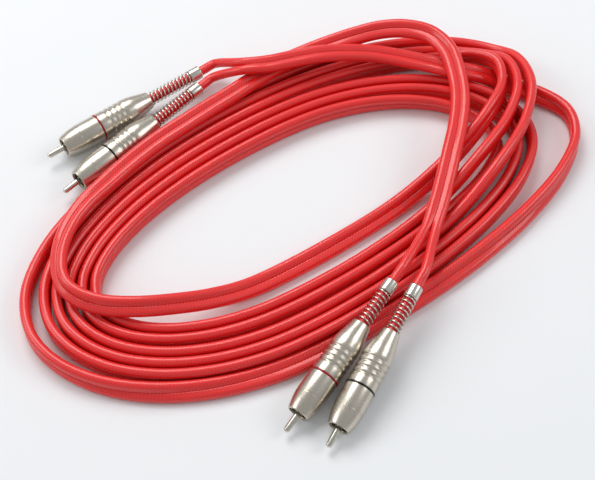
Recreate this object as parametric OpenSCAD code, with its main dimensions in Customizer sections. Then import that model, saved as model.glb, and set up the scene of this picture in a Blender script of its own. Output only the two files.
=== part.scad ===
// Stereo phono cable: two screened strands joined side by side, wound in loose oval
// loops, with a metal phono plug on each of the four ends. Millimetres, +Z up, lying
// on the plane Z = 0. The origin is under the middle of the four plugs.

/* [Pin and contacts] */
// Diameter of the centre pin
pin_d = 3.2; // [3:0.05:3.4]
// How far the pin's tip stands out of the mouth
pin_reach = 10.4; // [8:0.1:12]
// Diameter of the pin's root, inside the mouth and in the insulator
pin_root_d = 3.6; // [3.5:0.05:3.8]
// Depth of the step from the pin to its root behind the mouth
pin_root_inset = 0.5; // [0.3:0.1:2]
// Bore of the ground sleeve, which grips the socket's rim
sleeve_bore = 8.3; // [8:0.05:8.6]
// Wall of the ground sleeve
sleeve_wall = 0.6; // [0.4:0.05:0.8]
// Length of the ground sleeve from its front edge
sleeve_len = 18; // [16:0.5:20]
// Depth of the sleeve's front edge behind the mouth
sleeve_inset = 0.8; // [0.4:0.1:1.5]
// Width of the slots that split the sleeve into spring fingers
finger_slot = 0.7; // [0.4:0.1:1.2]
// Depth of the insulator's front face behind the mouth
insulator_inset = 6; // [4:0.5:9]
// Length of the insulator
insulator_len = 11; // [8:0.5:12]
// Diameter of the pin's solder cup
cup_d = 2.6; // [2.2:0.1:3]
// Length of the solder cup
cup_len = 7; // [6:0.5:8]

/* [Nose] */
// Outer diameter of the mouth
mouth_d = 11.5; // [11:0.1:13]
// Length of the nose's taper, from the mouth to the fine turned line
taper_len = 10; // [8:0.5:12]
// Diameter of the nose's cylinder
nose_d = 15.2; // [14.5:0.1:16]
// Length of the nose, from the mouth to the colour ring
nose_len = 22; // [20:0.5:24]
// Width and depth of the fine turned line
line_cut = 0.25; // [0.1:0.05:0.4]
// Diameter of the nose's threaded spigot
spigot_d = 12.4; // [12:0.1:13]
// Wall of the spigot
spigot_wall = 1.2; // [1:0.1:1.6]

/* [Colour ring] */
// Outer diameter of the colour ring
ring_d = 15.6; // [15.2:0.1:16.2]
// Width of the colour ring
ring_w = 0.8; // [0.5:0.1:1.5]
// Radial play of the ring and of the barrel on the spigot
thread_play = 0.08; // [0.05:0.01:0.1]
// Play beside the colour ring, on each face
face_play = 0.04; // [0.02:0.01:0.1]

/* [Barrel] */
// Length of the barrel
barrel_len = 32.2; // [30:0.2:36]
// Largest diameter of the barrel
barrel_d = 15.2; // [14.5:0.1:15.6]
// Diameter of the barrel's rear end
barrel_end_d = 9.5; // [9.3:0.1:10.5]
// Length of the barrel's rear taper
barrel_taper = 14.6; // [12:0.2:18]
// Number of grooves round the barrel
groove_count = 4; // [2:1:4]
// Distance from the barrel's front face to its first groove
groove_start = 5.6; // [4:0.2:6]
// Distance between grooves
groove_pitch = 3.1; // [2.6:0.1:3.4]
// Width of a groove
groove_w = 1.5; // [1:0.1:2]
// Depth of a groove
groove_depth = 0.55; // [0.3:0.05:0.8]
// Pitch of the screw thread
thread_pitch = 0.75; // [0.5:0.05:1]
// Turns that take the barrel to its last thread
thread_turns = 6; // [4:1:7]
// Wall of the barrel
barrel_wall = 1.4; // [1:0.1:1.6]

/* [Strain spring and ferrule] */
// Outer diameter of the strain spring
spring_d = 7.8; // [7.6:0.1:8.2]
// Diameter of the spring's wire
wire_d = 0.95; // [0.8:0.05:1]
// Free length of the spring on the front plugs
front_spring = 20.6; // [18:0.2:26]
// Curls of the spring on the front plugs
front_curls = 9; // [7:1:10]
// Free length of the spring on the rear plugs
rear_spring = 27; // [22:0.2:32]
// Curls of the spring on the rear plugs
rear_curls = 12; // [9:1:13]
// Depth of the spring's seat in the barrel
spring_seat = 1.5; // [1:0.1:2.5]
// Outer diameter of the ferrule
ferrule_d = 7.6; // [7.2:0.1:8.2]
// Length of the ferrule
ferrule_len = 7; // [5:0.5:9]
// Radial play of the ferrule and of the barrel's rear bore round the strand
strand_play = 0.45; // [0.35:0.05:0.5]

/* [Cord] */
// Diameter of one strand
cord_d = 5.2; // [4.8:0.1:5.2]
// Distance between the two strands' centres
strand_pitch = 5.5; // [5.4:0.05:5.6]
// Diameter of the stripped inner insulation
core_d = 2.8; // [2.2:0.1:3.2]
// Diameter of the copper conductor
wire_core_d = 1.1; // [0.8:0.1:1.4]
// Length of the stripped inner insulation
core_len = 4.5; // [3:0.5:6]
// Wall of the clamp that grips the strand's end
clamp_wall = 0.8; // [0.6:0.1:1]
// Length of that clamp
clamp_len = 5; // [3:0.5:6]

/* [Hidden] */
PLUGS = ["front_red", "front_black", "rear_red", "rear_black"];
PIECES = ["centre_pin", "insulator", "ground_sleeve", "nose", "colour_ring", "barrel", "strain_spring",
    "ferrule", "core"];
$fn = 64;
tiny = 0.01;

// Where each plug lies: its mouth's centre, seen from above, its heading, how far its
// rear end is tipped up, and its spring. The rear end points along the heading.
//            x      y   heading tilt  spring        curls
LAY = [
    [    37.5,   -101,     55, 8.5,   front_spring, front_curls],
    [    56.5, -108.5,     61, 8.5,   front_spring, front_curls],
    [   -89.5,  60.5,   36.5, 1.5,   rear_spring,  rear_curls],
    [   -79.5,  37.5,     46, 1.5,   rear_spring,  rear_curls]];

// Stations along a plug's axis, measured back from the mouth
barrel_front = nose_len + ring_w;
barrel_rear = barrel_front + barrel_len;
taper_front = barrel_rear - barrel_taper;
travel = thread_pitch * thread_turns;
spigot_rear = barrel_front + travel + thread_pitch;
spring_front = barrel_rear - spring_seat;
insulator_rear = insulator_inset + insulator_len;
cup_rear = insulator_rear + cup_len;
conductor_front = cup_rear - 3;
core_front = cup_rear + 1;
strand_front = core_front + core_len;
clamp_front = strand_front + 1;
sleeve_rear = sleeve_inset + sleeve_len;
tag_lap = 2;

// Radii
sleeve_r = sleeve_bore / 2 + sleeve_wall;
bore_r = barrel_d / 2 - barrel_wall;
strand_hole_r = cord_d / 2 + strand_play;
coil_r = (spring_d - wire_d) / 2;
clamp_r = cord_d / 2 + clamp_wall;

// The nose's outline as [station, radius] pairs, a little bowed between mouth and line
NOSE = [
    [0, mouth_d / 2],
    [0.3 * taper_len, mouth_d / 2 + 0.4 * (nose_d - mouth_d) / 2],
    [0.6 * taper_len, mouth_d / 2 + 0.72 * (nose_d - mouth_d) / 2],
    [taper_len, nose_d / 2],
    [nose_len, nose_d / 2]];

// ---- placing ------------------------------------------------------------------

// Height of the mouth's centre, so that the tipped nose just touches the plane
function rest_height(tilt) = max([for (p = NOSE) p[1] * cos(tilt) - p[0] * sin(tilt)]);
function plug_axis(i) = let (h = LAY[i][2], t = LAY[i][3]) [cos(t) * cos(h), cos(t) * sin(h), sin(t)];
function plug_mouth(i) = [LAY[i][0], LAY[i][1], rest_height(LAY[i][3])];
function on_axis(i, station) = plug_mouth(i) + station * plug_axis(i);
function ferrule_front(i) = barrel_rear + LAY[i][4];
function ferrule_rear(i) = ferrule_front(i) + ferrule_len;

// Puts a piece that is drawn along +Z, with its mouth end at the origin, in its plug
module in_plug(i) {
    translate(plug_mouth(i))
        rotate([0, 90 - LAY[i][3], LAY[i][2]])
            children();
}

// A turned piece from an outline of [station, radius] points
module turned(outline) {
    rotate_extrude()
        polygon([for (p = outline) [p[1], p[0]]]);
}

// ---- swept tubes --------------------------------------------------------------

function unit(v) = v / norm(v);
function smooth(t) = let (c = min(1, max(0, t))) c * c * (3 - 2 * c);

// Direction of a route at one of its points
function heading_at(route, i) =
    let (last = len(route) - 1)
    i == 0 ? unit(route[1] - route[0])
    : i == last ? unit(route[last] - route[last - 1])
    : unit(unit(route[i + 1] - route[i]) + unit(route[i] - route[i - 1]));

// One ring of the tube; "out" is any direction that the route never runs along
function ring_at(route, out, i, r, sides) =
    let (t = heading_at(route, i), a = unit(cross(t, out[i])), b = cross(a, t))
    [for (k = [0 : sides - 1]) route[i] + r * (cos(k * 360 / sides) * a + sin(k * 360 / sides) * b)];

// One closed tube along a route, in triangles
module tube(route, out, d, sides = 6) {
    rings = len(route);
    last = (rings - 1) * sides;
    points = [for (i = [0 : rings - 1]) each ring_at(route, out, i, d / 2, sides)];
    wall = [for (i = [0 : rings - 2], k = [0 : sides - 1])
        let (a = i * sides + k, b = i * sides + (k + 1) % sides)
        each [[a, a + sides, b], [b, a + sides, b + sides]]];
    start = [for (k = [1 : sides - 2]) [0, k, k + 1]];
    end = [for (k = [1 : sides - 2]) [last, last + k + 1, last + k]];
    polyhedron(points = points, faces = concat(wall, start, end));
}

// Distance from a point to the straight piece between two points
function to_piece(p, a, b) =
    let (ab = b - a, t = min(1, max(0, ((p - a) * ab) / (ab * ab)))) norm(p - a - t * ab);

// Least gap between a tube and its own later stretches, on "parts" points per piece
function least_gap(route, d, skip, parts = 4) =
    min([for (i = [0 : len(route) - 2 - skip], m = [0 : parts - 1])
        let (p = route[i] + (route[i + 1] - route[i]) * m / parts)
        min([for (j = [i + skip : len(route) - 2]) to_piece(p, route[j], route[j + 1])])]) - d;

// ---- the cord's route ---------------------------------------------------------

// The loops are a chain of quarter ovals through four corners a turn: right, near, left
// and back. The corners are set in the ovals' own frame, u along their length and v
// across it, turned by oval_heading about oval_centre.
oval_heading = 30;
oval_centre = [37, 4];
rings_per_loop = 24;
half_loops = 13;
// Right corners, turn by turn, as [u, v]
RIGHT = [[172, -3], [165.5, 38], [147.5, 4], [158.5, 38], [128, 5], [139, 5], [151.5, 38]];
// Each turn's place in the bundle, counted from the inside, on the near and left sides
PLACE = [7, 4, 6, 2, 3, 5, 1];
// Distance of each place from the middle, on the near side and at the left
NEAR_V = [-17, -32.6, -38.8, -46.6, -52.8, -59, -66.6];
LEFT_U = [-119.5, -107.2, -114, -120.7, -127.2, -133.7, -144];
// Corner of each place at the back, where places 2 to 4 and 5 to 7 lie apart
BACK = [[0, 0], [34, 64.3], [34, 70.9], [34, 77.4], [38, 84.5], [38, 90.9], [46.5, 97.8]];
near_u = -25;
inner_near_u = -35;
left_v = 12;
inner_left_v = 26;

// Lean of the ribbon at the corners: 0 is flat with the red strand outside, 90 is on
// edge with the red strand on top, 180 is flat with the red strand inside, and past 180
// the black strand is the higher one
LEAN = [
    [85, 90, 90, 90, 110, 90, 95],
    [165, 85, 85, 85, 85, 85, 155],
    [90, 88, 88, 88, 88, 88, 125],
    [88, 90, 90, 90, 90, 90, 150]];

// Stretches that climb over the passes below: [from, to, length of the rise, of the fall],
// in turns from the first right corner
CLIMBS = [
    [1.05, 1.125, 0.12, 0.06], [3.04, 3.125, 0.12, 0.06], [6, 6.1, 0.12, 0.05], [6.37, 6.6, 0.15, 0.05]];
// How high such a stretch lies: the ribbon below on its edge, and a gap
climb_h = strand_pitch + cord_d + 1;

function corner(i) =
    let (turn = floor(i / 4), side = i % 4, place = PLACE[turn])
    side == 0 ? RIGHT[turn]
    : side == 1 ? [place == 1 ? inner_near_u : near_u, NEAR_V[place - 1]]
    : side == 2 ? [LEFT_U[place - 1], place == 1 ? inner_left_v : left_v]
    : BACK[place - 1];

function oval_point(s) =
    let (
        q = floor(4 * s + tiny),
        t = 90 * (4 * s - q),
        a = corner(q),
        b = corner(q + 1),
        p = q % 2 == 0
            ? [b[0] + (a[0] - b[0]) * cos(t), a[1] + (b[1] - a[1]) * sin(t)]
            : [a[0] + (b[0] - a[0]) * sin(t), b[1] + (a[1] - b[1]) * cos(t)],
        c = cos(oval_heading),
        n = sin(oval_heading))
    oval_centre + [p[0] * c - p[1] * n, p[0] * n + p[1] * c];

function lean_at(s) =
    let (q = floor(4 * s + tiny), a = LEAN[q % 4][floor(q / 4)], b = LEAN[(q + 1) % 4][floor((q + 1) / 4)])
    a + (b - a) * smooth(4 * s - q);

function climb_at(s) =
    climb_h * max([for (c = CLIMBS)
        smooth((s - c[0] + c[2]) / c[2]) * smooth((c[1] + c[3] - s) / c[3])]);

// The lead-in from the rear plugs, by hand: [x, y, height of the underside, lean]
LEAD_IN = [
    [7, 107.5, 18, 5], [21, 108.5, 18.5, 10], [35.5, 112.5, 18.5, 10], [50, 116, 18.5, 10],
    [65, 118.5, 17, 10], [80.5, 120, 14.5, 10], [95.5, 119, 12, 10], [110, 115.5, 11.5, 10],
    [124.5, 110.5, 12, 10], [142, 110, 7.5, 10], [158.5, 107, 0, 25], [174, 99.5, 0, 50]];

// The last half turn and the lead-out to the front plugs, by hand
LEAD_OUT = [
    [-83, -17, 11.5, 140], [-80.5, 0.5, 11.5, 155], [-74, 15.5, 12, 168], [-63.5, 30, 12, 178],
    [-51, 45.5, 11.5, 185], [-37, 60, 11.5, 188], [-21.5, 73.5, 11.5, 190], [-10, 83.5, 11.5, 188],
    [1.5, 93, 11.5, 188], [14, 104, 11.5, 190], [27, 113.5, 12, 192], [40.5, 121.5, 12, 196],
    [54.5, 127.5, 13, 203], [69.5, 132.5, 14.5, 210], [84.5, 135.5, 16.5, 215], [99, 134.5, 18.5, 215],
    [112, 129.5, 19.5, 208], [121, 118, 20, 200], [125, 102, 19.5, 195], [126, 83.5, 19.5, 190],
    [123.5, 64.5, 19, 185], [119, 46, 18.5, 182], [114.5, 28.5, 17, 180], [110, 12.5, 16, 180],
    [105, -2.5, 15, 180]];

// The ribbon's middle, all along: [x, y, height of the underside, lean]
RIBBON = concat(
    LEAD_IN,
    [for (i = [0 : half_loops * rings_per_loop / 2])
        let (s = i / rings_per_loop, p = oval_point(s)) [p[0], p[1], climb_at(s), lean_at(s)]],
    LEAD_OUT);

// One strand's centre at one point of the ribbon; side is 1 for red and -1 for black
function strand_point(i, side) =
    let (
        last = len(RIBBON) - 1,
        p = RIBBON[i],
        along = RIBBON[min(last, i + 1)] - RIBBON[max(0, i - 1)],
        left = unit([-along[1], along[0], 0]),
        half = strand_pitch / 2,
        middle = [p[0], p[1], cord_d / 2 + half * abs(sin(p[3])) + p[2]])
    middle + side * half * (cos(p[3]) * left + sin(p[3]) * [0, 0, 1]);

// The straight end of a strand in and behind its plug, from inside outwards
function plug_end(i) = [
    on_axis(i, strand_front),
    on_axis(i, ferrule_rear(i)),
    on_axis(i, ferrule_rear(i) + travel + cord_d)];

function reversed(list) = [for (i = [len(list) - 1 : -1 : 0]) list[i]];

function strand_route(rear, front, side) = concat(
    plug_end(rear),
    [for (i = [0 : len(RIBBON) - 1]) strand_point(i, side)],
    reversed(plug_end(front)));

module strand(name, rear, front, side) {
    route = strand_route(rear, front, side);
    echo(str(name, ": least gap to itself ", least_gap(route, cord_d, 4), " mm"));
    echo(str(name, ": length ", lengths(route)[len(route) - 2], " mm"));
    tube(route, [for (p = route) [0, 0, 1]], cord_d);
}

// Running length of a route, up to the end of each of its pieces
function lengths(route, i = 0, sum = 0) =
    i > len(route) - 2 ? []
    : let (here = sum + norm(route[i + 1] - route[i])) concat([here], lengths(route, i + 1, here));

module red_strand() {
    color("crimson") strand("red_strand", 2, 0, 1);
}

module black_strand() {
    color("firebrick") strand("black_strand", 3, 1, -1);
}

// ---- the plug's pieces ---------------------------------------------------------

// Pin with a round tip and a solder cup, its shaft held in the insulator
module centre_pin() {
    color("gainsboro")
        difference() {
            union() {
                translate([0, 0, pin_d / 2 - pin_reach])
                    sphere(d = pin_d);
                translate([0, 0, pin_d / 2 - pin_reach])
                    cylinder(d = pin_d, h = pin_reach - pin_d / 2 + pin_root_inset + tiny);
                translate([0, 0, pin_root_inset])
                    cylinder(d = pin_root_d, h = insulator_rear - pin_root_inset);
                translate([0, 0, insulator_rear - tiny])
                    cylinder(d = cup_d, h = cup_rear - insulator_rear + tiny);
            }
            translate([0, 0, conductor_front])
                cylinder(d = wire_core_d, h = cup_rear - conductor_front + 1);
        }
}

// Moulded bush round the pin
module insulator() {
    color("ivory")
        difference() {
            translate([0, 0, insulator_inset])
                cylinder(d = sleeve_bore, h = insulator_len);
            translate([0, 0, insulator_inset - 1])
                cylinder(d = pin_root_d, h = insulator_len + 2);
        }
}

// Ground contact: slotted sleeve in the mouth, a solder tag and the clamp round the strand
module ground_sleeve() {
    clamp_rear = clamp_front + clamp_len;
    color("silver") {
        difference() {
            union() {
                translate([0, 0, sleeve_inset])
                    cylinder(r = sleeve_r, h = sleeve_len);
                translate([0, 0, clamp_front])
                    cylinder(r = clamp_r, h = clamp_len);
                // The tag, a flat strip from the sleeve to the clamp
                translate([-clamp_r / 2, sleeve_bore / 2, sleeve_rear - tag_lap])
                    cube([clamp_r, sleeve_wall, clamp_rear - sleeve_rear + tag_lap]);
                // Its foot, down to the clamp
                translate([-clamp_r / 2, cord_d / 2 + clamp_wall / 2, clamp_front])
                    cube([clamp_r, sleeve_bore / 2 - cord_d / 2 - clamp_wall / 2 + tiny, clamp_len]);
            }
            translate([0, 0, sleeve_inset - 1])
                cylinder(d = sleeve_bore, h = sleeve_len + 2);
            translate([0, 0, clamp_front - 1])
                cylinder(d = cord_d, h = clamp_len + 2);
            for (a = [45, 135])
                rotate([0, 0, a])
                    translate([-sleeve_bore, -finger_slot / 2, sleeve_inset - 1])
                        cube([2 * sleeve_bore, finger_slot, insulator_inset]);
        }
    }
}

// Front shell: bowed taper, fine turned line, cylinder and the spigot for the barrel
module nose() {
    color("silver")
        difference() {
            turned([
                [0, 0],
                each [for (i = [0 : 2]) NOSE[i]],
                [taper_len, nose_d / 2],
                [taper_len, nose_d / 2 - line_cut],
                [taper_len + line_cut, nose_d / 2 - line_cut],
                [taper_len + line_cut, nose_d / 2],
                [nose_len, nose_d / 2],
                [nose_len, spigot_d / 2],
                [spigot_rear, spigot_d / 2],
                [spigot_rear, 0]]);
            translate([0, 0, -1])
                cylinder(r = sleeve_r, h = sleeve_rear + 1);
            translate([0, 0, sleeve_rear - 1])
                cylinder(r = spigot_d / 2 - spigot_wall, h = spigot_rear - sleeve_rear + 2);
        }
}

// Loose captive band between nose and barrel
module colour_ring(tint) {
    color(tint)
        turned([
            [nose_len + face_play, spigot_d / 2 + thread_play],
            [nose_len + face_play, ring_d / 2],
            [barrel_front - face_play, ring_d / 2],
            [barrel_front - face_play, spigot_d / 2 + thread_play]]);
}

// Rear shell: grooves, long taper, threaded front bore and the spring's seat
module barrel() {
    neck_r = strand_hole_r;
    inner_rear = taper_front + barrel_taper / 3;
    color("silver")
        difference() {
            turned([
                [barrel_front, 0],
                [barrel_front, barrel_d / 2],
                [taper_front, barrel_d / 2],
                [barrel_rear - barrel_taper / 2, barrel_end_d / 2 + 0.58 * (barrel_d - barrel_end_d) / 2],
                [barrel_rear, barrel_end_d / 2],
                [barrel_rear, 0]]);
            for (i = [0 : groove_count - 1])
                translate([0, 0, barrel_front + groove_start + i * groove_pitch])
                    rotate_extrude()
                        translate([barrel_d / 2 + groove_w / 2 - groove_depth, 0])
                            circle(d = groove_w, $fn = 24);
            translate([0, 0, barrel_front - 1])
                cylinder(r = spigot_d / 2 + thread_play, h = spigot_rear - barrel_front + 1.5);
            turned([
                [barrel_front, 0],
                [barrel_front, bore_r - 0.8],
                [taper_front, bore_r - 0.8],
                [inner_rear, neck_r],
                [inner_rear, 0]]);
            translate([0, 0, inner_rear - 1])
                cylinder(r = neck_r, h = barrel_rear - inner_rear + 2);
            translate([0, 0, spring_front])
                cylinder(d = spring_d + 0.1, h = spring_seat + 1);
        }
}

// Route of a strain spring: each end runs straight into what it is fixed in
function spring_route(length, curls) =
    let (steps = 8 * curls, low = spring_front + 1.6 * wire_d, high = barrel_rear + length - 1.6 * wire_d)
    concat(
        [[coil_r, 0, spring_front], [coil_r, 0, spring_front + wire_d]],
        [for (i = [1 : steps - 1])
            let (a = 360 * curls * i / steps)
            [coil_r * cos(a), coil_r * sin(a), low + (high - low) * (i - 1) / (steps - 2)]],
        [[coil_r, 0, barrel_rear + length - wire_d], [coil_r, 0, barrel_rear + length]]);

module strain_spring(i) {
    route = spring_route(LAY[i][4], LAY[i][5]);
    echo(str(PLUGS[i], "_strain_spring: least gap to itself ", least_gap(route, wire_d, 4), " mm"));
    color("lightgray")
        tube(route, [for (p = route) [p[0], p[1], 0]], wire_d);
}

// Turned end ring on the spring
module ferrule(i) {
    f = ferrule_front(i);
    r = ferrule_rear(i);
    chamfer = 0.5;
    color("silver")
        turned([
            [f, strand_hole_r],
            [f, ferrule_d / 2 - chamfer],
            [f + chamfer, ferrule_d / 2],
            [r - chamfer, ferrule_d / 2],
            [r, ferrule_d / 2 - chamfer],
            [r, strand_hole_r]]);
}

// Stripped end of a strand: inner insulation, then the conductor in the pin's cup
module core() {
    color("peru") {
        translate([0, 0, conductor_front])
            cylinder(d = wire_core_d, h = strand_front - conductor_front);
        translate([0, 0, core_front])
            cylinder(d = core_d, h = core_len);
    }
}

module piece(i, name) {
    in_plug(i) {
        if (name == "centre_pin") centre_pin();
        if (name == "insulator") insulator();
        if (name == "ground_sleeve") ground_sleeve();
        if (name == "nose") nose();
        if (name == "colour_ring") colour_ring(i % 2 == 0 ? "red" : "dimgray");
        if (name == "barrel") barrel();
        if (name == "strain_spring") strain_spring(i);
        if (name == "ferrule") ferrule(i);
        if (name == "core") core();
    }
}

red_strand();
black_strand();
for (i = [0 : len(PLUGS) - 1], p = PIECES)
    piece(i, p);
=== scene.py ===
import math
import bpy
import numpy as np
from mathutils import Matrix, Vector


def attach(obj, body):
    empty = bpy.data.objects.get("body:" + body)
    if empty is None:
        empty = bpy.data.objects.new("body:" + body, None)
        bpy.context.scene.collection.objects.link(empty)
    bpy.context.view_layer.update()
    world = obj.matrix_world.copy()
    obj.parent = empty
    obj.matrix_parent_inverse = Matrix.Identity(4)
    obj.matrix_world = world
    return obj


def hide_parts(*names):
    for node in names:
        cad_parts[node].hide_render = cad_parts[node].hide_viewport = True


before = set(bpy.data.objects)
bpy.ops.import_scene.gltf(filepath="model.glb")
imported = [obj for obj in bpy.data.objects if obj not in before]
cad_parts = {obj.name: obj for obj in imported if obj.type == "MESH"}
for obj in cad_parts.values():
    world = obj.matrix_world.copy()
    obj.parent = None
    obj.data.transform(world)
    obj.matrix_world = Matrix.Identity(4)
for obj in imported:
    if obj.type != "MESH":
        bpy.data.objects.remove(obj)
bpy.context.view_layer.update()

# ---------------------------------------------------------------- the camera
# A product camera on a short tripod: it looks down at 55 degrees on the loops,
# with the front pair of plugs pointing towards it.
camera = bpy.data.objects.new("camera", bpy.data.cameras.new("camera"))
camera.data.lens = 78.66
camera.data.sensor_width = 36.0
camera.data.clip_end = 50.0
camera.location = (0.0374, -0.3866, 0.5578)
camera.rotation_euler = (math.radians(90.0 - 55.0), 0.0, 0.0)
bpy.context.scene.collection.objects.link(camera)
bpy.context.scene.camera = camera


# ---------------------------------------------------------------- the twin cord
# Two screened strands, 5.2 mm across, extruded side by side in one red PVC jacket
# and joined by a thin web. The pair lies in seven loose oval loops and is torn
# apart at both ends, where each strand goes into a plug of its own.
strand_d = 5.2
strand_pitch = 5.5

# The loops are quarter ovals from corner to corner, four corners a turn: right, near,
# left and back. Their axes are turned by oval_heading about oval_centre. lanes says how
# far out each turn lies on the near side, 1 for the innermost; the right corners are
# told by turn and the others by lane. The last turn, in lane 1, leaves the ovals before
# its back corner. All lengths here are millimetres.
oval_heading = math.radians(30.0)
oval_centre = (37.0, 4.0)
lanes = [7, 4, 6, 2, 3, 5, 1]
last_turn = len(lanes) - 1
right_corners = [(172, -3), (165.5, 38), (147.5, 4), (158.5, 38), (128, 5), (139, 5), (151.5, 38)]
near_u, inner_near_u = -25, -35
near_v = [-17, -32.6, -38.8, -46.6, -52.8, -59, -66.6]
left_u = [-119.5, -107.2, -114, -120.7, -127.2, -133.7, -144]
left_v, inner_left_v = 12, 26
back_corners = [(0, 0), (34, 64.3), (34, 70.9), (34, 77.4), (38, 84.5), (38, 90.9), (46.5, 97.8)]

# How the pair leans at each side's corners, turn by turn, in degrees: 0 is flat with the
# strand of the red-ringed plugs outside, 90 on edge, 180 flat the other way round.
leans = [
    (85, 90, 90, 90, 110, 90, 95),
    (165, 85, 85, 85, 85, 85, 155),
    (90, 88, 88, 88, 88, 88, 125),
    (88, 90, 90, 90, 90, 90, 150)]

# Where a turn climbs over the ones below, in turns: from, to, and how long it takes to
# get up and to come down again.
climbs = [
    (1.05, 1.125, 0.12, 0.06), (3.04, 3.125, 0.12, 0.06),
    (6, 6.1, 0.12, 0.05), (6.37, 6.6, 0.15, 0.05)]
climb_clearance = 1.0
climb_h = strand_pitch + strand_d + climb_clearance

# The ways in from the rear plugs and out to the front plugs: x, y, height of the pair's
# underside, lean.
lead_in = [
    (7, 107.5, 18, 5), (21, 108.5, 18.5, 10), (35.5, 112.5, 18.5, 10), (50, 116, 18.5, 10),
    (65, 118.5, 17, 10), (80.5, 120, 14.5, 10), (95.5, 119, 12, 10), (110, 115.5, 11.5, 10),
    (124.5, 110.5, 12, 10), (142, 110, 7.5, 10), (158.5, 107, 0, 25), (174, 99.5, 0, 50)]
lead_out = [
    (-83, -17, 11.5, 140), (-80.5, 0.5, 11.5, 155), (-74, 15.5, 12, 168), (-63.5, 30, 12, 178),
    (-51, 45.5, 11.5, 185), (-37, 60, 11.5, 188), (-21.5, 73.5, 11.5, 190), (-10, 83.5, 11.5, 188),
    (1.5, 93, 11.5, 188), (14, 104, 11.5, 190), (27, 113.5, 12, 192), (40.5, 121.5, 12, 196),
    (54.5, 127.5, 13, 203), (69.5, 132.5, 14.5, 210), (84.5, 135.5, 16.5, 215), (99, 134.5, 18.5, 215),
    (112, 129.5, 19.5, 208), (121, 118, 20, 200), (125, 102, 19.5, 195), (126, 83.5, 19.5, 190),
    (123.5, 64.5, 19, 185), (119, 46, 18.5, 182), (114.5, 28.5, 17, 180), (110, 12.5, 16, 180),
    (105, -2.5, 15, 180)]


def ease(t):
    """A soft step from 0 to 1."""
    t = min(1.0, max(0.0, t))
    return t * t * (3.0 - 2.0 * t)


def oval_corner(i):
    """Corner i of the loops, in the ovals' own axes."""
    turn, side = divmod(i, 4)
    turn = min(turn, last_turn)
    lane = lanes[turn] - 1
    innermost = lane == 0
    if side == 0:
        return right_corners[turn]
    if side == 1:
        return (inner_near_u if innermost else near_u, near_v[lane])
    if side == 2:
        return (left_u[lane], inner_left_v if innermost else left_v)
    return back_corners[lane]


def corner_lean(i):
    return leans[i % 4][min(i // 4, last_turn)]


def oval_pass(s):
    """The pair's middle, s turns along the loops: x, y, height of its underside, lean."""
    corner_slack = 0.01                   # a point on a corner belongs to the quarter it begins
    q = int(math.floor(4 * s + corner_slack))
    t = math.radians(90 * (4 * s - q))
    a, b = oval_corner(q), oval_corner(q + 1)
    if q % 2 == 0:
        u, v = b[0] + (a[0] - b[0]) * math.cos(t), a[1] + (b[1] - a[1]) * math.sin(t)
    else:
        u, v = a[0] + (b[0] - a[0]) * math.sin(t), b[1] + (a[1] - b[1]) * math.cos(t)
    c, n = math.cos(oval_heading), math.sin(oval_heading)
    climb = climb_h * max(ease((s - low + rise) / rise) * ease((high + fall - s) / fall)
                          for low, high, rise, fall in climbs)
    lean_a, lean_b = corner_lean(q), corner_lean(q + 1)
    return (oval_centre[0] + u * c - v * n, oval_centre[1] + u * n + v * c, climb,
            lean_a + (lean_b - lean_a) * ease(4 * s - q))


points_a_turn = 24
turns_on_ovals = 6.5
oval_points = int(turns_on_ovals * points_a_turn) + 1
pair = lead_in + [oval_pass(i / points_a_turn) for i in range(oval_points)] + lead_out

# All four plugs are alike but for their springs. Stations along a plug run back from
# its mouth: the nose is 22 mm long, the barrel ends at 55 mm, and the spring's free
# length and the ferrule follow. The jacket is cut inside, 29.5 mm back.
shell_r = 7.6
nose_outline = [(0, 5.75), (3, 6.49), (6, 7.082), (10, shell_r), (22, shell_r)]
jacket_end = 29.5
barrel_rear = 55.0
ferrule_length = 7.0
tail_straight = 4.5
plugs = []
# name, x and y of the mouth's middle, heading, tilt, free length and curls of the spring
for name, x, y, heading, tilt, spring_length, curls in (
        ("front_red", 37.5, -101.0, 55.0, 8.5, 20.6, 9),
        ("front_black", 56.5, -108.5, 61.0, 8.5, 20.6, 9),
        ("rear_red", -89.5, 60.5, 36.5, 1.5, 27.0, 12),
        ("rear_black", -79.5, 37.5, 46.0, 1.5, 27.0, 12)):
    h, t = math.radians(heading), math.radians(tilt)
    mouth_z = max(r * math.cos(t) - z * math.sin(t) for z, r in nose_outline)
    turn = Matrix.Rotation(h, 4, "Z") @ Matrix.Rotation(math.radians(90.0) - t, 4, "Y")
    plugs.append({
        "name": name, "colour": name.split("_")[1], "spring": spring_length, "curls": curls,
        "place": Matrix.Translation((x, y, mouth_z)) @ turn,
        "axis": np.array((math.cos(t) * math.cos(h), math.cos(t) * math.sin(h), math.sin(t))),
        "mouth": np.array((x, y, mouth_z))})


def on_plug(plug, station):
    return plug["mouth"] + station * plug["axis"]


def straight_end(plug):
    """Points of a strand's end, from its cut inside the plug to a little behind the ferrule."""
    free = barrel_rear + plug["spring"] + ferrule_length
    return [on_plug(plug, jacket_end), on_plug(plug, free), on_plug(plug, free + tail_straight),
            on_plug(plug, free + tail_straight + strand_d)]


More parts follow.
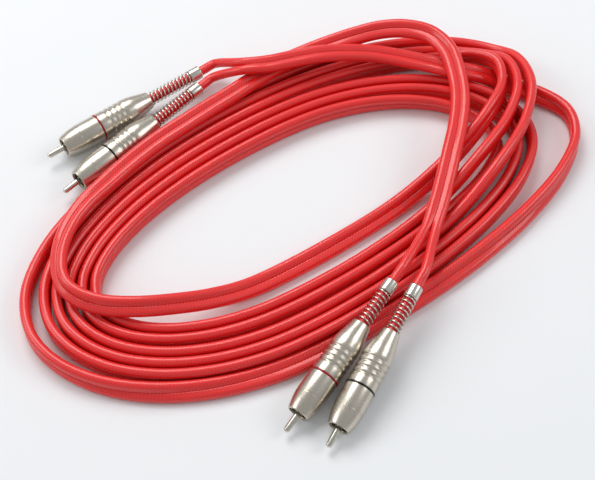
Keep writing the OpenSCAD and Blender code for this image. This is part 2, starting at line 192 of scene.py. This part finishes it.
def strand_controls(rear, front, side):
    """Points of one strand from plug to plug, the direction of the other strand at each,
    and the first and last point where the two are joined."""
    points, facing = [], []
    for i in range(len(pair)):
        x, y, under, lean = pair[i]
        before, after = pair[max(0, i - 1)], pair[min(len(pair) - 1, i + 1)]
        along = np.array((after[0] - before[0], after[1] - before[1], 0.0))
        left = np.array((-along[1], along[0], 0.0)) / np.linalg.norm(along)
        c, n = math.cos(math.radians(lean)), math.sin(math.radians(lean))
        across = c * left + n * np.array((0.0, 0.0, 1.0))
        middle = np.array((x, y, strand_d / 2 + strand_pitch / 2 * abs(n) + under))
        points.append(middle + side * strand_pitch / 2 * across)
        facing.append(-side * across)
    start, end = straight_end(rear), straight_end(front)[::-1]
    facing = [facing[0]] * len(start) + facing + [facing[-1]] * len(end)
    first = len(start)
    return np.array(start + points + end), np.array(facing), first, first + len(points) - 1


def smooth_route(points, others, first, last, step):
    """A centripetal spline through the points, sampled every step or so, with the direction of
    the other strand and how much of the web there is at each sample."""
    web_past, web_fade = 0.1, 0.6
    route, facing, web = [], [], []
    padded = np.vstack([2 * points[0] - points[1], points, 2 * points[-1] - points[-2]])
    for i in range(len(points) - 1):
        p0, p1, p2, p3 = padded[i:i + 4]
        t0 = 0.0
        t1 = t0 + np.linalg.norm(p1 - p0) ** 0.5
        t2 = t1 + np.linalg.norm(p2 - p1) ** 0.5
        t3 = t2 + np.linalg.norm(p3 - p2) ** 0.5
        count = max(1, int(round(np.linalg.norm(p2 - p1) / step)))
        for k in range(count):
            f = k / count
            t = t1 + (t2 - t1) * f
            a1 = (t1 - t) / (t1 - t0) * p0 + (t - t0) / (t1 - t0) * p1
            a2 = (t2 - t) / (t2 - t1) * p1 + (t - t1) / (t2 - t1) * p2
            a3 = (t3 - t) / (t3 - t2) * p2 + (t - t2) / (t3 - t2) * p3
            b1 = (t2 - t) / (t2 - t0) * a1 + (t - t0) / (t2 - t0) * a2
            b2 = (t3 - t) / (t3 - t1) * a2 + (t - t1) / (t3 - t1) * a3
            route.append((t2 - t) / (t2 - t1) * b1 + (t - t1) / (t2 - t1) * b2)
            facing.append(others[i] * (1 - f) + others[i + 1] * f)
            web.append(ease((i + f - first + web_past) / web_fade)
                       * ease((last + web_past - i - f) / web_fade))
    route.append(points[-1])
    facing.append(others[-1])
    web.append(0.0)
    route = np.array(route)
    route[:, 2] = np.maximum(route[:, 2], strand_d / 2)
    return route, np.array(facing), np.array(web)


def strand_mesh(name, rear, front, side):
    """One strand as a tube with a seam along it. Its map runs once round it and in millimetres along."""
    route_step = 2.4
    web_reach = math.radians(72)          # how far round the strand the web's slope begins
    web_half = 0.502 * strand_pitch       # a hair over half, so that the two halves meet
    half = [0, 20, 33.6, 43, 53, 63, 72, 88, 104, 120, 136, 152, 168]
    angles = [math.radians(a) for a in half + [180] + [360 - a for a in half[:0:-1]]]
    sides = len(angles)
    points, others, first, last = strand_controls(rear, front, side)
    route, facing, web = smooth_route(points, others, first, last, route_step)
    along = np.gradient(route, axis=0)
    along /= np.linalg.norm(along, axis=1)[:, None]
    facing -= (facing * along).sum(1)[:, None] * along
    facing /= np.linalg.norm(facing, axis=1)[:, None]
    square = np.cross(along, facing)
    run = np.concatenate([[0.0], np.cumsum(np.linalg.norm(np.diff(route, axis=0), axis=1))])
    verts, faces = [], []
    for i in range(len(route)):
        for a in angles:
            # the web: a broad, shallow valley from the crown of one strand to the other's
            r = strand_d / 2
            near = min(a, 2 * math.pi - a)
            if near < web_reach:
                slope = r / math.cos(web_reach - near)
                r += web[i] * (min(slope, web_half / math.cos(near)) - r)
            verts.append(route[i] + r * (math.cos(a) * facing[i] + math.sin(a) * square[i]))
    for i in range(len(route) - 1):
        for k in range(sides):
            a, b = i * sides + k, i * sides + (k + 1) % sides
            faces.append((a, b, b + sides, a + sides))
    faces.append(tuple(range(sides - 1, -1, -1)))
    faces.append(tuple(len(route) * sides - sides + k for k in range(sides)))
    mesh = bpy.data.meshes.new(name)
    mesh.from_pydata([tuple(v / 1000.0) for v in verts], [], faces)
    layer = mesh.uv_layers.new(name="jacket")
    n = 0
    for i in range(len(route) - 1):
        for k in range(sides):
            for u, v in ((k, i), (k + 1, i), (k + 1, i + 1), (k, i + 1)):
                round_it = 1.0 if u == sides else angles[u] / (2 * math.pi)
                layer.data[n].uv = (round_it, run[v])
                n += 1
    mesh.shade_smooth()
    obj = bpy.data.objects.new(name, mesh)
    bpy.context.scene.collection.objects.link(obj)
    return obj, route / 1000.0, run[-1] / 1000.0


def linear(code):
    """An sRGB hex colour as the linear RGBA that a shader takes."""
    parts = [int(code[i:i + 2], 16) / 255.0 for i in (1, 3, 5)]
    return [p / 12.92 if p <= 0.04045 else ((p + 0.055) / 1.055) ** 2.4 for p in parts] + [1.0]


def add_node(tree, kind, settings=None, links=None):
    """Adds a node, sets its own properties or its unlinked inputs, and links its other inputs."""
    node = tree.nodes.new(kind)
    for key, value in (settings or {}).items():
        if isinstance(key, str) and hasattr(node, key):
            setattr(node, key, value)
        else:
            node.inputs[key].default_value = value
    for key, source in (links or {}).items():
        tree.links.new(source, node.inputs[key])
    return node


def empty_material(name):
    material = bpy.data.materials.new(name)
    material.use_nodes = True
    material.node_tree.nodes.clear()
    return material, material.node_tree


def clouds(tree, per_metre, detail, **more):
    """Noise on the piece's own coordinates, with so many clouds to the metre."""
    where = add_node(tree, "ShaderNodeTexCoord")
    noise = add_node(tree, "ShaderNodeTexNoise", {"Scale": per_metre, "Detail": detail, **more},
                     {"Vector": where.outputs["Object"]})
    return noise.outputs["Fac"]


def between(tree, deep, pale, factor):
    """A colour between two sRGB hex ones."""
    mix = add_node(tree, "ShaderNodeMix", {"data_type": "RGBA", 6: linear(deep), 7: linear(pale)}, {0: factor})
    return mix.outputs[2]


def math_node(tree, operation, source, other):
    """One sum on a socket, with a number or another socket."""
    fixed, linked = ({1: other}, {}) if isinstance(other, float) else ({}, {1: other})
    return add_node(tree, "ShaderNodeMath", {"operation": operation, **fixed}, {0: source, **linked}).outputs[0]


# Plasticised PVC, extruded, see-through red over a braided copper screen: a wet gloss on
# top, and under it the bundles of the braid, nine rows of short slanting dashes round the
# strand, one every 1.75 mm along each row.
braid_rows = 9
dash_step = 1.75
jacket_red, tree = empty_material("extruded_red_pvc_over_braid")
jacket_map = add_node(tree, "ShaderNodeUVMap", {"uv_map": "jacket"})
parts = add_node(tree, "ShaderNodeSeparateXYZ", links={0: jacket_map.outputs[0]})
round_it = math_node(tree, "MULTIPLY", parts.outputs[0], 2 * math.pi * braid_rows)
down_it = math_node(tree, "MULTIPLY", parts.outputs[1], 2 * math.pi / dash_step)
slanting = math_node(tree, "ADD", round_it, down_it)
dash_wave = add_node(tree, "ShaderNodeMath", {"operation": "SINE"}, {0: slanting})
row_wave = add_node(tree, "ShaderNodeMath", {"operation": "COSINE"}, {0: round_it})
row = add_node(tree, "ShaderNodeMapRange", {"From Min": -1.0, "From Max": 1.0, "To Min": 0.25},
               {"Value": row_wave.outputs[0]})
dashes = math_node(tree, "MULTIPLY", dash_wave.outputs[0], row.outputs[0])
weave = add_node(tree, "ShaderNodeMapRange", {"From Min": -0.8, "From Max": 0.8}, {"Value": dashes})
tone = between(tree, "#D60E12", "#F6221E", weave.outputs[0])
shade = add_node(tree, "ShaderNodeMapRange", {"From Min": 0.3, "From Max": 0.7, "To Min": 0.85, "To Max": 1.0},
                 {"Value": clouds(tree, 60.0, 2.0)})
drift = add_node(tree, "ShaderNodeMix", {"data_type": "RGBA", "blend_type": "MULTIPLY", 0: 0.3},
                 {6: tone, 7: shade.outputs[0]})
low_bump = add_node(tree, "ShaderNodeBump", {"Strength": 0.06, "Distance": 0.0001}, {"Height": weave.outputs[0]})
jacket_shader = add_node(
    tree, "ShaderNodeBsdfPrincipled",
    {"Roughness": 0.5, "IOR": 1.5, "Subsurface Weight": 0.25, "Subsurface Radius": (0.005, 0.0006, 0.0005),
     "Subsurface Scale": 0.5, "Coat Weight": 0.6, "Coat Roughness": 0.12, "Coat IOR": 1.5},
    {"Base Color": drift.outputs[2], "Normal": low_bump.outputs[0]})
add_node(tree, "ShaderNodeOutputMaterial", links={"Surface": jacket_shader.outputs[0]})

for name, rear, front, side in (("red_strand", plugs[2], plugs[0], 1), ("black_strand", plugs[3], plugs[1], -1)):
    strand, path, length = strand_mesh(name + "_jacket", rear, front, side)
    strand.data.materials.append(jacket_red)
    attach(strand, "cord_and_fronts")
    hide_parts(name)


# ---------------------------------------------------------------- the stripped ends
# Inside each plug the strand is stripped: a short length of white inner insulation,
# then the bare tinned copper that is soldered into the pin's cup. Nothing of it shows.
def plain_plastic(name, deep, pale, per_metre, detail, roughness, ior, bump_distance=None):
    """An opaque plastic, a little uneven in tone and, where bump_distance is given, in surface."""
    material, tree = empty_material(name)
    cloud = clouds(tree, per_metre, detail)
    links = {"Base Color": between(tree, deep, pale, cloud)}
    if bump_distance is not None:
        low_bump = add_node(tree, "ShaderNodeBump", {"Strength": 0.2, "Distance": bump_distance}, {"Height": cloud})
        links["Normal"] = low_bump.outputs[0]
    shader = add_node(tree, "ShaderNodeBsdfPrincipled", {"Roughness": roughness, "IOR": ior}, links)
    add_node(tree, "ShaderNodeOutputMaterial", links={"Surface": shader.outputs[0]})
    return material


def dress_node(name, material):
    """Gives a shown CAD node its material."""
    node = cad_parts[name]
    node.data.materials.clear()
    node.data.materials.append(material)


# foamed polythene, extruded round the conductor: cells of about 0.7 mm
insulation = plain_plastic("extruded_foam_polythene", "#D9D5C8", "#EFEDE4", 1500.0, 3.0, 0.55, 1.5, 0.0001)
for plug in plugs:
    dress_node(plug["name"] + "_core", insulation)


# ---------------------------------------------------------------- the centre pin
# A turned brass pin, 3.2 mm across with a ball end, nickel-plated and polished. It
# stands 10.4 mm out of the mouth and carries the signal.
on_axis = 1e-6


def turned_mesh(name, outline, place_at, segments=96, sharp=32.0):
    """A closed solid of revolution from (station, radius) points in millimetres, put in its place."""
    verts, rings, faces = [], [], []
    for z, r in outline:
        if r < on_axis:
            rings.append([len(verts)])
            verts.append((0.0, 0.0, z))
        else:
            rings.append(list(range(len(verts), len(verts) + segments)))
            verts += [(r * math.cos(2 * math.pi * k / segments), r * math.sin(2 * math.pi * k / segments), z)
                      for k in range(segments)]
    pairs = list(zip(rings, rings[1:]))
    if len(rings[0]) > 1:
        pairs.append((rings[-1], rings[0]))
    for a, b in pairs:
        for k in range(segments):
            n = (k + 1) % segments
            if len(a) == 1:
                faces.append((a[0], b[n], b[k]))
            elif len(b) == 1:
                faces.append((a[k], a[n], b[0]))
            else:
                faces.append((a[k], a[n], b[n], b[k]))
    mesh = bpy.data.meshes.new(name)
    mesh.from_pydata(verts, [], faces)
    mesh.transform(place_at)
    mesh.transform(Matrix.Scale(0.001, 4))
    mesh.shade_smooth()
    mesh.set_sharp_from_angle(angle=math.radians(sharp))
    obj = bpy.data.objects.new(name, mesh)
    bpy.context.scene.collection.objects.link(obj)
    return obj


def nickel(name, pale, deep, roughness, grain, scratch):
    """Nickel plate on turned brass. The plate copies the fine rings of the cutter and dulls
    a little unevenly, in patches of about 11 mm; grain is the spacing of its marks in millimetres."""
    material, tree = empty_material(name)
    marks = clouds(tree, 1000.0 / grain, 4.0, Roughness=0.6)
    tone = between(tree, deep, pale, clouds(tree, 90.0, 3.0))
    rough = add_node(tree, "ShaderNodeMapRange",
                     {"From Min": 0.3, "From Max": 0.7, "To Min": roughness * 0.8, "To Max": roughness * 1.25},
                     {"Value": marks})
    low_bump = add_node(tree, "ShaderNodeBump", {"Strength": scratch, "Distance": 0.00002}, {"Height": marks})
    shader = add_node(tree, "ShaderNodeBsdfPrincipled", {"Metallic": 1.0},
                      {"Base Color": tone, "Roughness": rough.outputs[0], "Normal": low_bump.outputs[0]})
    add_node(tree, "ShaderNodeOutputMaterial", links={"Surface": shader.outputs[0]})
    return material


pin_plate = nickel("polished_nickel_on_turned_brass", "#DAD7CE", "#C2BCAE", 0.16, 0.5, 0.15)
pin_r, pin_tip = 1.6, -10.4
root_r, root_rear = 1.8, 17.0
cup_r, cup_bore_r, cup_floor, cup_rear = 1.3, 0.55, 21.0, 24.0
edge = 0.1
ball = [math.radians(a) for a in range(9, 91, 9)]
pin_outline = [(pin_tip, 0.0)]
pin_outline += [(pin_tip + pin_r - pin_r * math.cos(a), pin_r * math.sin(a)) for a in ball]
pin_outline += [
    (0.5, pin_r), (0.6, root_r), (root_rear - edge, root_r), (root_rear, root_r - edge), (root_rear, cup_r),
    (cup_rear - edge, cup_r), (cup_rear, cup_r - edge), (cup_rear, cup_bore_r), (cup_floor, cup_bore_r),
    (cup_floor, 0.0)]
for plug in plugs:
    pin = turned_mesh(plug["name"] + "_pin_turned", pin_outline, plug["place"], 48)
    pin.data.materials.append(pin_plate)
    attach(pin, "cord_and_fronts")
    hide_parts(plug["name"] + "_centre_pin")


# ---------------------------------------------------------------- the insulator
# A moulded bush of pale acetal that holds the pin on the plug's axis. Only its front
# face shows, deep in the mouth; its flow marks are about 2.5 mm apart.
acetal = plain_plastic("moulded_pale_acetal", "#CFC9B8", "#E2DDCF", 400.0, 3.0, 0.4, 1.48, 0.00005)
for plug in plugs:
    dress_node(plug["name"] + "_insulator", acetal)


# ---------------------------------------------------------------- the ground sleeve
# Spring brass, rolled and nickel-plated, slotted into four fingers that grip the
# socket's rim. Its tag runs back to the clamp that holds the strand.
contact_plate = nickel("nickel_on_rolled_brass", "#CFC9BB", "#B3A993", 0.24, 0.4, 0.2)
for plug in plugs:
    dress_node(plug["name"] + "_ground_sleeve", contact_plate)


# ---------------------------------------------------------------- the nose
# The front shell, turned from brass bar: a taper a little bowed, one fine line cut
# round it, a short cylinder, and the spigot for the barrel. Satin nickel-plated.
def along_curve(points, steps):
    """Points of a smooth curve through the (station, radius) points."""
    out = []
    padded = [points[0]] + list(points) + [points[-1]]
    for i in range(1, len(padded) - 2):
        p0, p1, p2, p3 = (np.array(q, float) for q in padded[i - 1:i + 3])
        for k in range(steps):
            t = k / steps
            out.append(tuple(0.5 * (2 * p1 + (p2 - p0) * t + (2 * p0 - 5 * p1 + 4 * p2 - p3) * t * t
                                    + (3 * p1 - p0 - 3 * p2 + p3) * t ** 3)))
    out.append(tuple(points[-1]))
    return out


def rounded(points, radius, steps=4):
    """The outline with each corner that turns sharply rounded off."""
    tiny, nearly_straight, part_of_side = 1e-9, 0.06, 0.45
    out = []
    count = len(points)
    for i, p in enumerate(points):
        a, b, c = (np.array(q, float) for q in (points[i - 1], p, points[(i + 1) % count]))
        u, v = a - b, c - b
        lu, lv = np.linalg.norm(u), np.linalg.norm(v)
        if lu < tiny or lv < tiny or b[1] < on_axis or abs(u @ v / (lu * lv) + 1) < nearly_straight:
            out.append(tuple(b))
            continue
        r = min(radius, part_of_side * lu, part_of_side * lv)
        s, e = b + u / lu * r, b + v / lv * r
        for k in range(steps + 1):
            t = k / steps
            q = (1 - t) ** 2 * s + 2 * t * (1 - t) * b + t * t * e
            out.append(tuple(q))
    return out


shell_plate = nickel("satin_nickel_on_turned_brass", "#D8D0C4", "#C2B9AB", 0.29, 0.35, 0.12)
shell_edge = 0.12
sleeve_bore_r, nose_bore_r = 4.76, 5.0
spigot_r, spigot_rear = 6.2, 28.05
line_front, line_rear, line_r = 10.0, 10.25, 7.36
taper = along_curve([(0.35, 5.78), (3, 6.49), (6, 7.08), (9.7, 7.56)], 6)
nose_shape = [(0.0, sleeve_bore_r), (0.0, 5.5)] + taper + [
    (line_front - 0.05, 7.58), (line_front, line_r), (line_rear, line_r), (line_rear + 0.05, 7.59),
    (21.75, shell_r), (22.0, 7.42), (22.0, spigot_r), (spigot_rear, spigot_r), (spigot_rear, nose_bore_r),
    (18.8, nose_bore_r), (18.8, sleeve_bore_r)]
for plug in plugs:
    nose = turned_mesh(plug["name"] + "_nose_turned", rounded(nose_shape, shell_edge, 3), plug["place"])
    nose.data.materials.append(shell_plate)
    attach(nose, "cord_and_fronts")
    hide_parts(plug["name"] + "_nose")


# ---------------------------------------------------------------- the colour ring
# A loose band of gloss acrylic between nose and barrel, red on one channel's plugs and
# black on the other's. It turns freely and slides back with the barrel.
ring_looks = {}
for colour, pale, deep in (("red", "#B8141C", "#8E0E14"), ("black", "#1A1A1C", "#0C0C0D")):
    ring_looks[colour] = plain_plastic("moulded_%s_acrylic" % colour, deep, pale, 300.0, 2.0, 0.18, 1.49)
ring_front, ring_rear, ring_bore_r, ring_r = 22.04, 22.76, 6.28, 7.8
ring_shape = rounded([(ring_front, ring_bore_r), (ring_front, ring_r), (ring_rear, ring_r),
                      (ring_rear, ring_bore_r)], shell_edge, 3)
for plug in plugs:
    ring = turned_mesh(plug["name"] + "_ring_moulded", ring_shape, plug["place"])
    ring.data.materials.append(ring_looks[plug["colour"]])
    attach(ring, plug["name"] + "_ring_slide")
    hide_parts(plug["name"] + "_colour_ring")


# ---------------------------------------------------------------- the barrel
# The rear shell, turned from the same bar: four soft grooves for the fingers, then a
# long taper to the spring's seat. It screws onto the nose's spigot.
barrel_front = 22.8
barrel_bore_r, thread_bore_r = 5.4, 6.3
seat_r, seat_front, cord_hole_r = 3.96, 53.5, 3.05
groove_count, groove_first, groove_step = 4, 5.6, 3.1
groove_half, groove_depth, groove_fullness = 1.05, 0.55, 0.8
barrel_shape = [(barrel_front, thread_bore_r), (barrel_front, 7.4), (barrel_front + 0.2, shell_r)]
for i in range(groove_count):
    middle = barrel_front + groove_first + groove_step * i
    for k in range(-10, 11):
        w = k / 10.0
        dip = (0.5 + 0.5 * math.cos(math.pi * w)) ** groove_fullness
        barrel_shape.append((middle + groove_half * w, shell_r - groove_depth * dip))
barrel_shape += along_curve([(40.4, shell_r), (44.0, 7.22), (47.7, 6.42), (51.5, 5.5), (54.6, 4.85)], 6)
barrel_shape += [
    (54.9, 4.72), (barrel_rear, 4.55), (barrel_rear, seat_r), (seat_front, seat_r), (seat_front, cord_hole_r),
    (45.3, cord_hole_r), (40.4, barrel_bore_r), (30.0, barrel_bore_r), (30.0, thread_bore_r)]
for plug in plugs:
    barrel = turned_mesh(plug["name"] + "_barrel_turned", barrel_shape, plug["place"], sharp=38.0)
    barrel.data.materials.append(shell_plate)
    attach(barrel, plug["name"] + "_rear_shell")
    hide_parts(plug["name"] + "_barrel")


# ---------------------------------------------------------------- the strain spring
# A coil of nickel-plated steel wire, 0.95 mm thick, that keeps the strand from a
# sharp bend behind the barrel. One end sits in the barrel, the other in the ferrule.
wire_plate = nickel("nickel_on_drawn_steel_wire", "#DDDAD2", "#BDB8AC", 0.18, 0.3, 0.1)
wire_r = 0.475
coil_r = 3.425
spring_front = 53.6
depth_in_ferrule = 0.3
winding = bpy.data.node_groups.new("wound_spring", "GeometryNodeTree")
inputs = {}
for key, kind, value in (("Turns", "NodeSocketFloat", 12.0), ("Coil radius", "NodeSocketFloat", 0.0034),
                         ("Height", "NodeSocketFloat", 0.027), ("Wire radius", "NodeSocketFloat", 0.00047),
                         ("Steps in a turn", "NodeSocketInt", 36), ("Wire", "NodeSocketMaterial", None)):
    socket = winding.interface.new_socket(key, in_out="INPUT", socket_type=kind)
    if value is not None:
        socket.default_value = value
    inputs[key] = socket.identifier
winding.interface.new_socket("Geometry", in_out="OUTPUT", socket_type="NodeSocketGeometry")
given = add_node(winding, "NodeGroupInput")
spiral = add_node(winding, "GeometryNodeCurveSpiral", links={
    "Resolution": given.outputs["Steps in a turn"], "Rotations": given.outputs["Turns"],
    "Start Radius": given.outputs["Coil radius"], "End Radius": given.outputs["Coil radius"],
    "Height": given.outputs["Height"]})
section = add_node(winding, "GeometryNodeCurvePrimitiveCircle", {"Resolution": 12},
                   {"Radius": given.outputs["Wire radius"]})
swept = add_node(winding, "GeometryNodeCurveToMesh", {"Fill Caps": True},
                 {"Curve": spiral.outputs[0], "Profile Curve": section.outputs[0]})
smooth = add_node(winding, "GeometryNodeSetShadeSmooth", links={"Geometry": swept.outputs[0]})
real = add_node(winding, "GeometryNodeRealizeInstances", links={"Geometry": smooth.outputs[0]})
painted = add_node(winding, "GeometryNodeSetMaterial",
                   links={"Geometry": real.outputs[0], "Material": given.outputs["Wire"]})
add_node(winding, "NodeGroupOutput", links={"Geometry": painted.outputs[0]})
for plug in plugs:
    spring_rear = barrel_rear + plug["spring"] + depth_in_ferrule
    blank = bpy.data.objects.new("spring_blank", bpy.data.meshes.new("spring_blank"))
    bpy.context.scene.collection.objects.link(blank)
    wind = blank.modifiers.new("winding", "NODES")
    wind.node_group = winding
    wind[inputs["Turns"]] = float(plug["curls"])
    wind[inputs["Height"]] = (spring_rear - spring_front) / 1000.0
    wind[inputs["Coil radius"]] = coil_r / 1000.0
    wind[inputs["Wire radius"]] = wire_r / 1000.0
    wind[inputs["Wire"]] = wire_plate
    blank.data.update()
    seen = blank.evaluated_get(bpy.context.evaluated_depsgraph_get())
    mesh = bpy.data.meshes.new_from_object(seen)
    bpy.data.objects.remove(blank)
    to_station = Matrix.Translation((0, 0, spring_front)) @ Matrix.Scale(1000.0, 4)
    mesh.transform(Matrix.Scale(0.001, 4) @ plug["place"] @ to_station)
    spring = bpy.data.objects.new(plug["name"] + "_spring_wound", mesh)
    bpy.context.scene.collection.objects.link(spring)
    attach(spring, plug["name"] + "_rear_shell")
    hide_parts(plug["name"] + "_strain_spring")


# ---------------------------------------------------------------- the ferrule
# A short turned collar on the spring's rear end, bright nickel, that guides the
# strand into the spring.
ferrule_plate = nickel("bright_nickel_on_turned_brass", "#DEDAD2", "#C8C2B6", 0.22, 0.4, 0.12)
ferrule_r, chamfer, ferrule_edge = 3.8, 0.4, 0.25
for plug in plugs:
    front = barrel_rear + plug["spring"]
    rear = front + ferrule_length
    ferrule_shape = rounded([
        (front, cord_hole_r), (front, ferrule_r - chamfer), (front + chamfer, ferrule_r),
        (rear - chamfer, ferrule_r), (rear, ferrule_r - chamfer), (rear, cord_hole_r)], ferrule_edge, 4)
    ferrule = turned_mesh(plug["name"] + "_ferrule_turned", ferrule_shape, plug["place"])
    ferrule.data.materials.append(ferrule_plate)
    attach(ferrule, plug["name"] + "_rear_shell")
    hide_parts(plug["name"] + "_ferrule")


# ---------------------------------------------------------------- the table and the light
# A wide sheet of pale paper under a large soft light from behind on the left, with two
# weaker ones from the left and the right.
table_half = 3
paper, tree = empty_material("pale_matt_paper")
shader = add_node(tree, "ShaderNodeBsdfPrincipled", {"Base Color": linear("#ECEDEF"), "Roughness": 0.9, "IOR": 1.3})
add_node(tree, "ShaderNodeOutputMaterial", links={"Surface": shader.outputs[0]})
sheet = bpy.data.meshes.new("table")
sheet.from_pydata([(x * table_half, y * table_half, 0) for x, y in ((-1, -1), (1, -1), (1, 1), (-1, 1))],
                  [], [(0, 1, 2, 3)])
table = bpy.data.objects.new("table", sheet)
table.data.materials.append(paper)
bpy.context.scene.collection.objects.link(table)

bpy.context.scene.view_settings.view_transform = "Standard"
world = bpy.data.worlds.new("studio")
world.use_nodes = True
world.node_tree.nodes["Background"].inputs["Color"].default_value = linear("#F2F6F8")
world.node_tree.nodes["Background"].inputs["Strength"].default_value = 0.5
bpy.context.scene.world = world
lit_spot = Vector((0.02, 0.0, 0.0))
# name, place in metres, size, power in watts, tint
for name, at, size, power, tint in (
        ("window_light", (-0.5, 1.1, 1.55), 1.1, 20.0, (1.0, 0.99, 0.98)),
        ("left_light", (-1.3, 0.1, 0.9), 0.8, 6.0, (1.0, 0.99, 0.98)),
        ("right_light", (1.3, 0.2, 1.0), 0.7, 5.5, (0.98, 0.99, 1.0))):
    lamp = bpy.data.lights.new(name, "AREA")
    lamp.energy = power
    lamp.size = size
    lamp.color = tint
    light = bpy.data.objects.new(name, lamp)
    light.location = at
    light.rotation_euler = (lit_spot - Vector(at)).to_track_quat("-Z", "Y").to_euler()
    bpy.context.scene.collection.objects.link(light)
